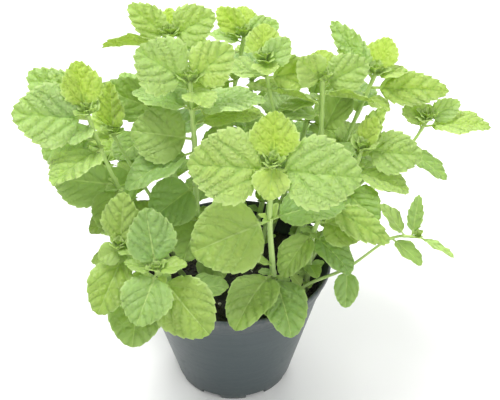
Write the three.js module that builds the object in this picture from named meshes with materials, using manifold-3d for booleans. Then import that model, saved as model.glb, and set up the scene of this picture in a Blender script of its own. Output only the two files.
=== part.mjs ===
// A mint plant in a round nursery pot, in millimetres, +Z up.
// The origin is the middle of the pot's underside, and -Y is the front.
import * as THREE from 'three';
import { mergeVertices } from 'three/addons/utils/BufferGeometryUtils.js';
import Module from 'manifold-3d';

const kernel = await Module();
kernel.setup();

// Pot
const rimRadius = 60;
const potHeight = 87;
const baseRadius = 36.5;
const wall = 1.6;
const collarHeight = 12;
const collarStep = 1.4;
const floorThickness = 2;
const potSides = 26;
const drainCount = 8;
const drainWidth = 13;
const drainDepth = 6;
const drainHeight = 3.4;

// Soil
const soilTop = 74;
const gap = 0.35;
const soilBottom = floorThickness + gap;
const plantingDepth = 13;
const holeMouth = 4;

// Stems
const stemFoot = 2.1;
const stemTip = 1.25;
const stemSides = 4;
const stemStations = 5;

// Leaves
const bladeThickness = 0.7;
const petioleHalf = 0.85;
const petioleShare = 0.13;
const widestAt = 0.78;
const roundness = 0.8;
const longLeaf = 38;
const shortLeaf = 23;
const ribbedLeaf = 19;
const firstTooth = 0.62;
const lastTooth = 0.35;
const toothDepth = 0.055;
const toothLean = 0.012;
const firstRib = 0.25;
const foldSlope = 0.22;
const leafGap = 0.4;
const ownOverlap = 0.004;
const mergeTolerance = 0.1;

// How a leaf gives way to its neighbours: turned aside in rings of small steps, then grown smaller
const giveStep = 7;
const giveRings = 4;
const giveDirections = 8;
const giveSizes = [1, 0.86, 0.72];

const leafGreen = 0x8fbf55;

const radians = THREE.MathUtils.degToRad;

// The way a blade's upper face is turned, beyond facing up across its own rise
const toFront = new THREE.Vector3(0, -0.8, 0.6);
const toBack = new THREE.Vector3(0, 0.6, 0.8);
const toLeft = new THREE.Vector3(-0.75, -0.25, 0.6);
const toRight = new THREE.Vector3(0.75, -0.25, 0.6);
const toRear = new THREE.Vector3(0, 0.85, 0.5);

function solidOf(geometry) {
  const bare = geometry.clone();
  bare.deleteAttribute('normal');
  bare.deleteAttribute('uv');
  const merged = mergeVertices(bare, 1e-4);
  return new kernel.Manifold(new kernel.Mesh({
    numProp: 3,
    vertProperties: Float32Array.from(merged.attributes.position.array),
    triVerts: Uint32Array.from(merged.index.array),
  }));
}

function solidFrom(points, triangles) {
  return new kernel.Manifold(new kernel.Mesh({
    numProp: 3,
    vertProperties: Float32Array.from(points.flatMap((point) => point.toArray())),
    triVerts: Uint32Array.from(triangles.flat()),
  }));
}

function meshOf(name, solid, material) {
  const { vertProperties, triVerts } = solid.getMesh();
  const geometry = new THREE.BufferGeometry();
  geometry.setAttribute('position', new THREE.BufferAttribute(vertProperties, 3));
  geometry.setIndex(new THREE.BufferAttribute(triVerts, 1));
  geometry.computeVertexNormals();
  const mesh = new THREE.Mesh(geometry, material);
  mesh.name = name;
  return mesh;
}

// A solid of revolution about +Z from [radius, height] pairs that start and end on the axis
function turned(profile, sides) {
  const outline = profile.map(([radius, height]) => new THREE.Vector2(radius, height));
  return new THREE.LatheGeometry(outline, sides).rotateX(Math.PI / 2);
}

// The radius of the pot's outer wall, which widens evenly from the base to under the collar
function wallRadius(height) {
  const share = height / potHeight;
  return baseRadius + (rimRadius - collarStep - baseRadius) * share;
}

function makePot() {
  const underCollar = potHeight - collarHeight;
  const body = solidOf(turned([
    [0, 0],
    [baseRadius - 0.5, 0],
    [wallRadius(1), 1],
    [wallRadius(underCollar), underCollar],
    [wallRadius(underCollar) + collarStep, underCollar + 0.8],
    [rimRadius, potHeight - 0.8],
    [rimRadius - 0.6, potHeight],
    [rimRadius - wall, potHeight],
    [rimRadius - wall - 0.4, potHeight - 0.8],
    [wallRadius(underCollar) - wall, underCollar],
    [wallRadius(floorThickness) - wall, floorThickness],
    [0, floorThickness],
  ], potSides));
  let pot = body;
  for (let i = 0; i < drainCount; i += 1) {
    const slot = new THREE.BoxGeometry(2 * drainDepth, drainWidth, 2 * drainHeight);
    slot.translate(baseRadius, 0, 0);
    slot.rotateZ((i + 0.5) * 2 * Math.PI / drainCount);
    pot = pot.subtract(solidOf(slot));
  }
  return pot;
}

function makeSoil(stems) {
  const inner = (height) => wallRadius(height) - wall - gap;
  const soil = solidOf(turned([
    [0, soilBottom],
    [inner(soilBottom), soilBottom],
    [inner(soilTop - 2), soilTop - 2],
    [inner(soilTop - 2) - 2.5, soilTop - 0.4],
    [0, soilTop],
  ], potSides));
  const holes = stems.map(({ path }) => {
    const [x, y] = path[0];
    const radius = (stemFoot + gap) / Math.cos(Math.PI / stemSides);
    const depth = plantingDepth + gap + holeMouth;
    const hole = new THREE.CylinderGeometry(radius, radius, depth, stemSides);
    hole.rotateX(Math.PI / 2);
    hole.rotateZ(Math.PI / 2);
    return solidOf(hole.translate(x, y, soilTop + holeMouth - depth / 2));
  });
  return holes.reduce((rest, hole) => rest.subtract(hole), soil);
}

// The stem's middle line above the soil: an even curve through its points
function stemCurve(path) {
  const points = path.map(([x, y, z]) => new THREE.Vector3(x, y, z));
  return new THREE.CatmullRomCurve3(points, false, 'catmullrom', 0.5);
}

// Rings of points square to the curve, thinning to the tip, over a straight foot in the soil
function stemSolid(path) {
  const curve = stemCurve(path);
  const foot = curve.getPoint(0);
  const rings = [
    { middle: foot.clone().setZ(soilTop - plantingDepth), along: new THREE.Vector3(0, 0, 1), share: 0 },
    { middle: foot, along: new THREE.Vector3(0, 0, 1), share: 0 },
  ];
  for (let i = 1; i <= stemStations; i += 1) {
    const share = i / stemStations;
    rings.push({ middle: curve.getPoint(share), along: curve.getTangent(share), share });
  }
  const points = [];
  for (const { middle, along, share } of rings) {
    const across = new THREE.Vector3(1, 0, 0).addScaledVector(along, -along.x).normalize();
    const other = new THREE.Vector3().crossVectors(along, across);
    const radius = THREE.MathUtils.lerp(stemFoot, stemTip, share);
    for (let k = 0; k < stemSides; k += 1) {
      const angle = 2 * Math.PI * k / stemSides;
      points.push(middle.clone()
        .addScaledVector(across, radius * Math.cos(angle))
        .addScaledVector(other, radius * Math.sin(angle)));
    }
  }
  const triangles = [];
  const last = (rings.length - 1) * stemSides;
  for (let ring = 0; ring < rings.length - 1; ring += 1) {
    for (let k = 0; k < stemSides; k += 1) {
      const a = ring * stemSides + k;
      const b = ring * stemSides + (k + 1) % stemSides;
      triangles.push([a, b, b + stemSides], [a, b + stemSides, a + stemSides]);
    }
  }
  for (let k = 1; k < stemSides - 1; k += 1) {
    triangles.push([0, k + 1, k], [last, last + k, last + k + 1]);
  }
  return solidFrom(points, triangles);
}

// Half the blade's width at a share of its own length: an egg shape, widest below the middle
function bladeHalf(share, width) {
  return 0.5 * width * Math.sin(Math.PI * share ** widestAt) ** roundness;
}

// The three directions of a leaf: along its chord, up out of its face, and across
function leafFrame(turn, rise, facing) {
  const t = radians(turn);
  const r = radians(rise);
  const along = new THREE.Vector3(Math.cos(r) * Math.cos(t), Math.cos(r) * Math.sin(t), Math.sin(r));
  const up = facing
    ? facing.clone().addScaledVector(along, -facing.dot(along)).normalize()
    : new THREE.Vector3(-Math.sin(r) * Math.cos(t), -Math.sin(r) * Math.sin(t), Math.cos(r));
  return { along, up, across: new THREE.Vector3().crossVectors(up, along) };
}

// The edge and the midrib of one leaf, flat, as [distance from the root, distance across]
function leafOutline(length, width) {
  const teeth = length > longLeaf ? 7 : length > shortLeaf ? 5 : 4;
  const ribs = length > ribbedLeaf ? 2 : 1;
  const bladeStart = petioleShare * length;
  const bladeLength = length - bladeStart;
  const edge = [[0, petioleHalf], [bladeStart, petioleHalf]];
  for (let i = 0; i < teeth; i += 1) {
    const outward = i % 2 === 0 ? 1 : -1;
    const share = (i + firstTooth) / (teeth + lastTooth);
    const half = bladeHalf(share, width) * (1 + outward * toothDepth);
    edge.push([bladeStart + bladeLength * (share + outward * toothLean), half]);
  }
  const rib = [];
  for (let i = 0; i < ribs; i += 1) {
    rib.push([bladeStart + bladeLength * (i + firstRib) / ribs, 0]);
  }
  return { edge, rib, tip: [length, 0] };
}

// Triangles between an edge and the rib, both running to one shared tip
function stripBetween(edge, rib, distance) {
  const triangles = [];
  let e = 0;
  let r = 0;
  while (e < edge.length - 1 || r < rib.length - 2) {
    const stepEdge = r >= rib.length - 2
      || (e < edge.length - 1 && distance[edge[e + 1]] <= distance[rib[r + 1]]);
    if (stepEdge) {
      triangles.push([edge[e], edge[e + 1], rib[r]]);
      e += 1;
    } else {
      triangles.push([edge[e], rib[r + 1], rib[r]]);
      r += 1;
    }
  }
  return triangles;
}

// One leaf: a thin blade on its stalk, folded up along the midrib and bent down along its length.
// The middle line is an arc whose chord runs from the stem's middle to the tip.
function leafSolid(root, leaf) {
  const { length, width, droop } = leaf;
  const { along, up, across } = leafFrame(leaf.turn, leaf.rise, leaf.facing);
  const { edge, rib, tip } = leafOutline(length, width);
  const left = edge;
  const right = edge.map(([s, y]) => [s, -y]);
  const flat = [...left, ...rib, tip, ...right];
  const bend = radians(droop) || 1e-4;
  const place = ([s, y], side) => {
    const angle = bend / 2 - bend * s / length;
    const x = (length / bend) * (Math.sin(bend / 2) - Math.sin(angle));
    const z = (length / bend) * (Math.cos(angle) - Math.cos(bend / 2));
    const lift = foldSlope * Math.abs(y) + side * bladeThickness / 2;
    return root.clone()
      .addScaledVector(along, x - Math.sin(angle) * lift)
      .addScaledVector(up, z + Math.cos(angle) * lift)
      .addScaledVector(across, y);
  };
  const points = [...flat.map((point) => place(point, 1)), ...flat.map((point) => place(point, -1))];
  const count = flat.length;
  const distance = flat.map(([s]) => s);
  const leftIds = left.map((_, i) => i);
  const ribIds = [...rib, tip].map((_, i) => left.length + i);
  const tipId = left.length + rib.length;
  const rightIds = right.map((_, i) => tipId + 1 + i);
  const leftStrip = stripBetween([...leftIds, tipId], ribIds, distance);
  const rightStrip = stripBetween([...rightIds, tipId], ribIds, distance).map(([a, b, c]) => [a, c, b]);
  const stalk = [leftIds[0], ribIds[0], rightIds[0]];
  const top = [...leftStrip, ...rightStrip, stalk].map(([a, b, c]) => [a, c, b]);
  const bottom = top.map(([a, b, c]) => [a + count, c + count, b + count]);
  const outline = [...rightIds, tipId, ...[...leftIds].reverse()];
  const band = outline.flatMap((a, i) => {
    const b = outline[(i + 1) % outline.length];
    return [[a, a + count, b + count], [a, b + count, b]];
  });
  return solidFrom(points, [...top, ...bottom, ...band]);
}

// The leaf as wished, then turned aside step by step, then smaller
function waysToGrow(leaf) {
  const ways = [];
  for (const size of giveSizes) {
    ways.push({ ...leaf, length: leaf.length * size, width: leaf.width * size });
    for (let ring = 1; ring <= giveRings; ring += 1) {
      for (let k = 0; k < giveDirections; k += 1) {
        const angle = 2 * Math.PI * k / giveDirections;
        ways.push({
          ...leaf,
          turn: leaf.turn + giveStep * ring * Math.cos(angle),
          rise: leaf.rise + giveStep * ring * Math.sin(angle),
          length: leaf.length * size,
          width: leaf.width * size,
        });
      }
    }
  }
  return ways;
}

// A leaf from its row: place on the stem, turn, rise, length, width, droop and facing
function leafRow([at, turn, rise, length, width, droop = 20, facing = null]) {
  return { at, turn, rise, length, width, droop, facing };
}

// Two leaves on opposite sides of the stem
function pair(at, turn, rise, length, width, droop = 25) {
  return [[at, turn, rise, length, width, droop], [at, turn + 180, rise, length, width, droop]];
}

// The shoots. A path runs from the soil to the tip, and leaves are in the order they are placed.
const shoots = [
  {
    name: 'stem_front',
    path: [[25, -20, soilTop], [23, -33, 110], [21, -42, 146], [22, -50, 186]],
    leaves: [
      [0.97, 180, 4, 44, 38, 22, toFront],
      [0.97, -8, -1, 46, 37, 24, toFront],
      [1, 84, 66, 27, 25, -10],
      [1, -100, -42, 19, 19, 10, toFront],
      [0.66, -162, -15, 46, 40, 24, toFront],
      [0.66, 8, 8, 42, 32, 25],
      [0.22, -120, -12, 46, 28, 46],
      [0.18, -76, -15, 43, 27, 46],
    ],
  },
  {
    name: 'stem_left_centre',
    path: [[-14, -5, soilTop], [-20, -6, 120], [-20, -8, 168], [-21, -12, 213]],
    leaves: [
      [0.99, 176, 34, 33, 31, 20, toFront],
      [0.99, 12, 40, 30, 24, 10, toFront],
      [0.95, -60, 5, 22, 18, 15],
      [0.95, 140, 20, 26, 18, 15],
      [0.86, 150, 4, 38, 28, 25],
      [0.86, 2, 8, 40, 28, 20],
      [0.79, 20, 0, 42, 30, 30],
      [0.72, 172, 4, 36, 32, 25, toFront],
      [0.66, -158, -18, 44, 28, 25],
      [0.64, 0, 12, 34, 28, 25, toFront],
      [0.5, -150, -25, 32, 28, 25, toFront],
      [0.34, -105, -22, 30, 26, 30, toFront],
      [0.3, -35, -5, 30, 24, 35, toFront],
      [0.15, -62, -2, 26, 20, 30, toFront],
    ],
  },
  {
    name: 'stem_far_left',
    path: [[-30, -4, soilTop], [-52, -6, 112], [-66, -8, 148], [-77, -10, 193]],
    leaves: [
      [1, 112, 66, 28, 22, -12],
      [0.97, -167, 12, 41, 34, 20, toFront],
      [0.98, 166, 38, 40, 24, 5, toFront],
      [0.95, -112, -5, 18, 16, 15],
      [0.88, 172, -20, 36, 28, 20, toFront],
      [0.83, -150, 0, 40, 26, 20],
      [0.64, 172, 2, 38, 30, 25, toFront],
      [0.62, -103, -14, 30, 20, 25],
      [0.45, 205, -10, 28, 24, 30],
    ],
  },
  {
    name: 'stem_upper_left',
    path: [[-14, 14, soilTop], [-32, 20, 120], [-40, 26, 167], [-34, 30, 219]],
    leaves: [
      [0.99, 172, 40, 29, 17, 10, toFront],
      [0.99, 8, 28, 29, 23, 15, toFront],
      [0.96, 176, 0, 38, 26, 12, toBack],
      [0.96, -8, -10, 26, 22, 15],
      [1, 92, 60, 16, 12, 0],
      [0.8, 100, 10, 34, 26, 25],
      [0.7, 178, 24, 40, 24, 15, toFront],
      [0.6, 40, 5, 34, 26, 30],
      [0.4, 120, -5, 34, 26, 35],
    ],
  },
  {
    name: 'stem_rear_centre',
    path: [[16, 10, soilTop], [22, 14, 118], [25, 18, 165], [18, 22, 208]],
    leaves: [
      [1, 90, 52, 21, 20, -10],
      [0.97, 20, 44, 21, 16, 5, toFront],
      [0.99, -85, 0, 15, 15, 5],
      [0.92, 2, 8, 28, 20, 15, toFront],
      [0.92, 174, 12, 29, 22, 20],
      [0.86, -8, -4, 30, 22, 15, toBack],
      [0.7, 70, 5, 36, 28, 25],
      [0.7, 250, 5, 36, 28, 25, toFront],
      ...pair(0.48, 160, 5, 34, 26, 30),
    ],
  },
  {
    name: 'stem_rear_left',
    path: [[-4, 28, soilTop], [-4, 34, 118], [-1, 42, 165], [7, 50, 210]],
    leaves: [
      [1, 160, 42, 22, 15, 5, toFront],
      [0.97, 172, 12, 21, 18, 10],
      [0.93, -170, -10, 25, 17, 15],
      [0.99, 5, 22, 22, 17, 5, toFront],
      [0.95, 40, 5, 28, 14, 10],
      [0.99, 88, 50, 20, 17, 5],
      [0.8, 60, 5, 34, 26, 25],
      [0.8, 200, 0, 34, 26, 25, toFront],
      ...pair(0.58, 110, 0, 38, 30, 30),
      [0.36, 210, -5, 34, 26, 35],
    ],
  },
  {
    name: 'stem_right_centre',
    path: [[32, 4, soilTop], [44, 11, 112], [51, 17, 155], [51, 20, 197]],
    leaves: [
      [0.99, 176, 32, 21, 20, 5, toFront],
      [1, 105, 52, 19, 20, -5],
      [0.97, 6, 28, 29, 22, 12, toFront],
      [0.93, -10, 0, 30, 22, 12, toBack],
      [0.9, -176, -8, 26, 22, 15],
      [0.82, 176, 3, 27, 20, 15],
      [0.72, 48, 45, 34, 24, 10],
      [0.68, -70, 5, 32, 26, 25],
      ...pair(0.5, 150, 5, 34, 26, 30),
    ],
  },
  {
    name: 'stem_right',
    path: [[36, 20, soilTop], [51, 22, 112], [67, 25, 155], [82, 30, 196]],
    leaves: [
      [0.97, 148, 46, 41, 15, 5, toFront],
      [1, 60, 50, 22, 20, -5],
      [0.99, -8, 12, 19, 17, 0],
      [0.93, -8, 9, 45, 19, 10, toFront],
      [0.9, -168, -10, 23, 18, 10],
      [0.88, -35, -12, 17, 14, 10],
      [0.8, 90, 10, 32, 24, 25],
      ...pair(0.62, 60, 0, 34, 26, 30),
      [0.4, 310, 0, 32, 26, 30],
    ],
  },
  {
    name: 'stem_right_mid',
    path: [[42, -4, soilTop], [52, -5, 102], [64, -3, 134], [74, 0, 164]],
    leaves: [
      [0.9, 45, 64, 36, 17, 0],
      [0.99, -10, 0, 34, 24, 15, toFront],
      [1, 20, 50, 20, 16, 5],
      [0.84, -25, -8, 34, 23, 18],
      [0.7, -60, -5, 32, 24, 25, toFront],
      [0.55, 130, 0, 30, 24, 25],
    ],
  },
  {
    name: 'stem_far_right',
    path: [[46, 6, soilTop], [58, 6, 102], [72, 8, 130], [88, 11, 147], [103, 15, 157], [112, 17, 173]],
    leaves: [
      [0.98, 150, 34, 16, 14, 5, toFront],
      [1, 12, 28, 21, 13, 5, toFront],
      [0.95, -12, 7, 38, 26, 15],
      [0.93, 100, 15, 22, 17, 15],
      [0.76, -33, -22, 30, 16, 15],
      [0.6, 70, 0, 32, 26, 25],
      [0.5, -30, -10, 22, 18, 20],
    ],
  },
  {
    name: 'stem_front_right',
    path: [[44, -16, soilTop], [45, -18, 97], [47, -21, 122], [54, -26, 145]],
    leaves: [
      [0.66, -138, -38, 32, 21, 30],
      [0.62, -36, -30, 32, 20, 30],
      [0.78, -14, -10, 28, 22, 20, toFront],
      [0.98, -32, -16, 40, 16, 20, toFront],
      [0.96, 165, 5, 24, 20, 10],
      [0.3, -75, 10, 16, 10, 30],
    ],
  },
  {
    name: 'stem_trailing',
    path: [[33, -27, soilTop], [44, -27, 87], [66, -32, 104], [87, -40, 131], [101, -46, 137]],
    leaves: [
      [0.5, -95, -50, 23, 14, 15],
      [0.76, -40, -22, 22, 12, 15],
      [0.94, 70, 74, 24, 8, 0],
      [0.87, 150, 48, 22, 13, 0],
      [1, -30, -14, 22, 6, 10],
    ],
  },
  {
    name: 'stem_low_front',
    path: [[-20, -34, soilTop], [-28, -46, 94], [-35, -57, 113], [-39, -65, 130]],
    leaves: [
      [0.98, 110, 64, 34, 26, -10],
      [0.96, -112, -32, 31, 27, 18, toFront],
      [0.88, -36, -38, 42, 32, 20, toFront],
      [1, 172, 12, 17, 14, 5],
      [1, 0, 12, 17, 14, 5],
      [0.6, 205, -10, 26, 22, 30],
      [0.34, 15, 8, 28, 22, 25],
    ],
  },
  {
    name: 'stem_low_left',
    path: [[-32, -22, soilTop], [-44, -31, 94], [-54, -41, 114], [-60, -50, 133]],
    leaves: [
      [0.98, 75, 68, 31, 22, -10],
      [0.88, -118, -38, 36, 24, 18, toFront],
      [0.97, -150, -8, 13, 13, 10, toFront],
      [1, -30, 10, 15, 13, 5],
      [0.52, -98, -37, 44, 33, 30, toFront],
      [0.66, 165, 0, 26, 22, 25],
    ],
  },
  {
    name: 'stem_thin_left',
    path: [[-28, 12, soilTop], [-42, 12, 108], [-57, 12, 140], [-69, 15, 165]],
    leaves: [
      [1, 62, 57, 32, 20, 0],
      [0.97, 182, -14, 20, 16, 10],
      [0.95, 125, 35, 24, 18, 5],
      [0.62, 100, -10, 32, 24, 25],
      [0.62, 225, -5, 32, 24, 25, toFront],
    ],
  },
  {
    name: 'stem_rear_middle',
    path: [[4, 41, soilTop], [7, 57, 110], [10, 71, 145], [12, 84, 172]],
    leaves: [
      ...pair(0.99, 20, 25, 24, 18, 15),
      [0.96, 110, 30, 24, 18, 5],
      [0.9, 100, -10, 36, 30, 25, toRear],
      [0.9, -60, 10, 26, 20, 15],
      ...pair(0.73, 5, 0, 36, 30, 30),
      [0.55, 100, -15, 40, 32, 30, toRear],
      ...pair(0.38, 20, -5, 34, 28, 40),
    ],
  },
  {
    name: 'stem_rear_right',
    path: [[22, 34, soilTop], [35, 46, 110], [45, 56, 145], [50, 62, 176]],
    leaves: [
      ...pair(0.99, 150, 25, 22, 17, 10),
      [0.95, 60, 30, 24, 19, 5],
      [0.88, 40, 0, 36, 28, 25],
      [0.88, 230, 5, 26, 20, 15],
      ...pair(0.7, 140, 0, 36, 28, 30),
      [0.52, 55, -12, 38, 32, 30, toRear],
      [0.35, 10, -5, 34, 26, 40],
    ],
  },
  {
    name: 'stem_rear_far_left',
    path: [[-24, 32, soilTop], [-38, 48, 108], [-50, 60, 138], [-56, 68, 162]],
    leaves: [
      ...pair(0.99, 40, 25, 22, 17, 10),
      [0.95, 140, 30, 24, 19, 5],
      [0.86, 130, 0, 38, 30, 25, toRear],
      [0.86, -50, 10, 26, 20, 15],
      ...pair(0.66, 55, 0, 36, 28, 30),
      [0.48, 140, -15, 38, 32, 30],
      [0.34, 100, -5, 32, 26, 40],
    ],
  },
  {
    name: 'stem_rear_low',
    path: [[14, 42, soilTop], [19, 53, 92], [25, 70, 108], [31, 84, 122]],
    leaves: [
      ...pair(0.98, 0, 12, 26, 22, 20),
      [0.93, 90, 15, 26, 22, 20],
      [0.8, 70, -35, 36, 30, 30, toRear],
      [0.62, 140, -25, 34, 28, 30, toRear],
      [0.5, 20, -12, 32, 26, 40],
    ],
  },
  {
    name: 'stem_left_rear',
    path: [[-38, 18, soilTop], [-50, 24, 92], [-66, 32, 112], [-80, 38, 130]],
    leaves: [
      ...pair(0.97, 80, 25, 24, 20, 15),
      [0.93, 165, 15, 26, 22, 15, toLeft],
      [0.8, 160, -25, 36, 30, 30, toLeft],
      ...pair(0.6, 100, -5, 32, 26, 30),
      [0.42, 180, -15, 34, 26, 45, toLeft],
    ],
  },
  {
    name: 'stem_right_rear',
    path: [[37, 24, soilTop], [47, 32, 94], [64, 42, 114], [80, 52, 130]],
    leaves: [
      ...pair(0.98, 120, 15, 22, 19, 15),
      [0.94, 25, 15, 24, 20, 15],
      [0.82, 25, -20, 34, 28, 25, toRight],
      ...pair(0.6, 100, 0, 32, 26, 30),
      [0.42, 20, -15, 34, 28, 45, toRight],
    ],
  },
];

function boxesMeet(a, b, margin) {
  return [0, 1, 2].every((k) => a.min[k] - margin < b.max[k] && b.min[k] - margin < a.max[k]);
}

// True where a solid keeps the leaf gap to everything of the other nodes
function standsClear(solid, others) {
  const box = solid.boundingBox();
  return others.every((other) => !boxesMeet(box, other.box, leafGap)
    || solid.minGap(other.solid, leafGap) >= leafGap);
}

// True where a leaf does not cut through the blades of its own stem beyond their roots
function sharesLittle(solid, own) {
  const box = solid.boundingBox();
  const allowed = ownOverlap * solid.volume();
  return own.every((other) => !boxesMeet(box, other.box, 0)
    || solid.intersect(other.solid).volume() < allowed);
}

function growPlant(pot, soil) {
  const boxed = (solid, owner) => ({ solid, owner, box: solid.boundingBox() });
  const placed = [boxed(pot, 'pot'), boxed(soil, 'soil')];
  const stems = shoots.map(({ name, path }) => boxed(stemSolid(path), name));
  placed.push(...stems);
  const blades = new Map(shoots.map(({ name }) => [name, []]));
  for (const { name, path, leaves } of shoots) {
    const curve = stemCurve(path);
    for (const leaf of leaves.map(leafRow)) {
      const root = curve.getPoint(leaf.at);
      const others = placed.filter(({ owner }) => owner !== name);
      const own = blades.get(name);
      for (const way of waysToGrow(leaf)) {
        const blade = leafSolid(root, way);
        if (standsClear(blade, others) && sharesLittle(blade, own)) {
          const grown = boxed(blade, name);
          own.push(grown);
          placed.push(grown);
          break;
        }
      }
    }
  }
  return stems.map(({ solid, owner }) => ({
    name: owner,
    solid: blades.get(owner)
      .reduce((body, blade) => body.add(blade.solid), solid)
      .simplify(mergeTolerance),
  }));
}

const plant = new THREE.Group();
const pot = makePot();
const soil = makeSoil(shoots);
const potPlastic = new THREE.MeshStandardMaterial({ color: 0x4b5559, roughness: 0.45, metalness: 0 });
const peat = new THREE.MeshStandardMaterial({ color: 0x2a2420, roughness: 0.95, metalness: 0 });
plant.add(meshOf('pot', pot, potPlastic));
plant.add(meshOf('soil', soil, peat));
for (const { name, solid } of growPlant(pot, soil)) {
  const foliage = new THREE.MeshStandardMaterial({ color: leafGreen, roughness: 0.6, metalness: 0 });
  plant.add(meshOf(name, solid, foliage));
}

export default plant;
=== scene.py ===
# A mint plant in a nursery pot: fine leaves, stems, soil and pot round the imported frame
import math

import bpy
import numpy as np
from mathutils.bvhtree import BVHTree
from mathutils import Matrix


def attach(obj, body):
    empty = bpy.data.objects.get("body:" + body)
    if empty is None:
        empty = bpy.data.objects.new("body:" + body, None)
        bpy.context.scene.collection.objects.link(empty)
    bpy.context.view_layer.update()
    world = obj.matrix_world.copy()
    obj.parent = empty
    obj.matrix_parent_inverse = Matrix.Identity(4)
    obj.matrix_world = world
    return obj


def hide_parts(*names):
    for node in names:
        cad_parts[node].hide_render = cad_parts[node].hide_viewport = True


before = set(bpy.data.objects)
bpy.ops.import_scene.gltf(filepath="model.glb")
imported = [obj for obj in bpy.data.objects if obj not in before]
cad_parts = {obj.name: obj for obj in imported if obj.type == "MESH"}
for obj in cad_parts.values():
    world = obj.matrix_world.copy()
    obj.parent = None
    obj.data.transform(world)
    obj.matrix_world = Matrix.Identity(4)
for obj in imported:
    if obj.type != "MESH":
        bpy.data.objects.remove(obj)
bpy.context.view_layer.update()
mm = 0.001
draw = np.random.default_rng(11)  # one seeded source for every random draw


# Geometry helpers

# Faces of a closed surface of rings: three-sided round the point at each end, four-sided between rings.
# Corners run so that ring direction crossed into row direction points inwards.
def ringFaces(rows, around):
    ends = rows * around
    here = np.arange(around)
    after = (here + 1) % around
    first = np.stack([np.full(around, ends), here, after], axis=-1)
    last = np.stack([np.full(around, ends + 1), ends - around + after, ends - around + here], axis=-1)
    row = np.arange(rows - 1)[:, None] * around
    quads = np.stack([row + here, row + around + here, row + around + after, row + after], axis=-1)
    return np.vstack([first, last]), quads.reshape(-1, 4)


# A new object in the scene, at the origin
def addObject(name, data):
    made = bpy.data.objects.new(name, data)
    bpy.context.scene.collection.objects.link(made)
    return made


# Gathers closed ring surfaces, with values that vary over them, into the mesh of one piece
class Bundle:
    def __init__(self, *names):
        self.points = []
        self.faces = ([], [])  # three-sided, then four-sided
        self.kinds = ([], [])
        self.values = {name: [] for name in names}
        self.count = 0

    def add(self, rings, ends, kind=0, **values):
        grid = rings.shape[:2]
        self.points += [rings.reshape(-1, 3), np.array(ends, float)]
        for sort, faces in enumerate(ringFaces(*grid)):
            self.faces[sort].append(faces + self.count)
            self.kinds[sort].append(np.full(len(faces), kind))
        for name, gathered in self.values.items():
            spread = np.broadcast_to(values.get(name, 0.0), grid)
            gathered += [spread.ravel(), np.array([spread[0].mean(), spread[-1].mean()])]
        self.count += grid[0] * grid[1] + 2

    # The gathered surfaces as one smooth mesh object, riding on the root body. The values u and v become
    # a map on the surface, and the others attributes.
    def makePiece(self, name, materials, replaced=(), sharpAngle=None):
        mesh = bpy.data.meshes.new(name)
        points = np.vstack(self.points) * mm
        triangles, quads = map(np.vstack, self.faces)
        corners = np.concatenate([triangles.ravel(), quads.ravel()])
        sides = np.repeat((3, 4), (len(triangles), len(quads)))
        kinds = np.concatenate(sum(self.kinds, []))
        mesh.vertices.add(len(points))
        mesh.vertices.foreach_set("co", points.astype(np.float32).ravel())
        mesh.loops.add(len(corners))
        mesh.loops.foreach_set("vertex_index", corners.astype(np.int32))
        mesh.polygons.add(len(sides))
        mesh.polygons.foreach_set("loop_start", (np.cumsum(sides) - sides).astype(np.int32))
        mesh.polygons.foreach_set("material_index", kinds.astype(np.int32))
        mesh.update(calc_edges=True)
        mesh.shade_smooth()
        if sharpAngle:
            mesh.set_sharp_from_angle(angle=math.radians(sharpAngle))
        for material in materials:
            mesh.materials.append(material)
        whole = {key: np.concatenate(parts).astype(np.float32) for key, parts in self.values.items()}
        for key, value in whole.items():
            if key not in ("u", "v"):
                mesh.attributes.new(key, "FLOAT", "POINT").data.foreach_set("value", value)
        if "u" in whole:
            flat = np.stack([whole["u"], whole["v"]], axis=-1)
            mesh.uv_layers.new(name="veins").data.foreach_set("uv", flat[corners].ravel())
        piece = addObject(name, mesh)
        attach(piece, "root")
        if replaced:
            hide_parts(*replaced)
        return piece


# A search tree over a surface, which tells what crosses it
def surfaceTree(points, faces):
    return BVHTree.FromPolygons(points.tolist(), faces)


# The corners of a mesh, one row each, in metres
def cornersOf(mesh):
    corners = np.empty(len(mesh.vertices) * 3, np.float32)
    mesh.vertices.foreach_get("co", corners)
    return corners.reshape(-1, 3)


def meshTree(mesh):
    return surfaceTree(cornersOf(mesh), [tuple(face.vertices) for face in mesh.polygons])


# Each row of an array, scaled to length one
def unit(vectors):
    return vectors / np.linalg.norm(vectors, axis=-1, keepdims=True)


# How far along a line each of its points lies: the sum of the steps before it
def alongLine(points):
    return np.concatenate([[0], np.cumsum(np.linalg.norm(np.diff(points, axis=0), axis=-1))])


# Angles from 0 round a full turn, in so many even steps
def evenAngles(count):
    return 2 * np.pi * np.arange(count) / count


# A sine of so many whole waves
def waves(count):
    return np.sin(2 * np.pi * count)


# A round bump, 1 high at 0 and gone by about 2: e to the minus square
def bell(distance):
    return np.exp(-(distance ** 2))


# Rises evenly from 0 at low to 1 at high, level at both ends: t squared times (3 - 2t)
def smoothStep(low, high, value):
    t = np.clip((value - low) / (high - low), 0, 1)
    return t * t * (3 - 2 * t)


# A surface of revolution about +Z: each [radius, height] of the profile, which starts and ends near
# the axis, is carried round the axis at the given angles, clockwise seen from above
def turnedRings(profile, angles):
    radius = np.array(profile)[:, 0, None]
    height = np.broadcast_to(np.array(profile)[:, 1, None], (len(profile), len(angles)))
    return np.stack([radius * np.cos(angles), -radius * np.sin(angles), height], axis=-1)


# Materials

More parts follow.
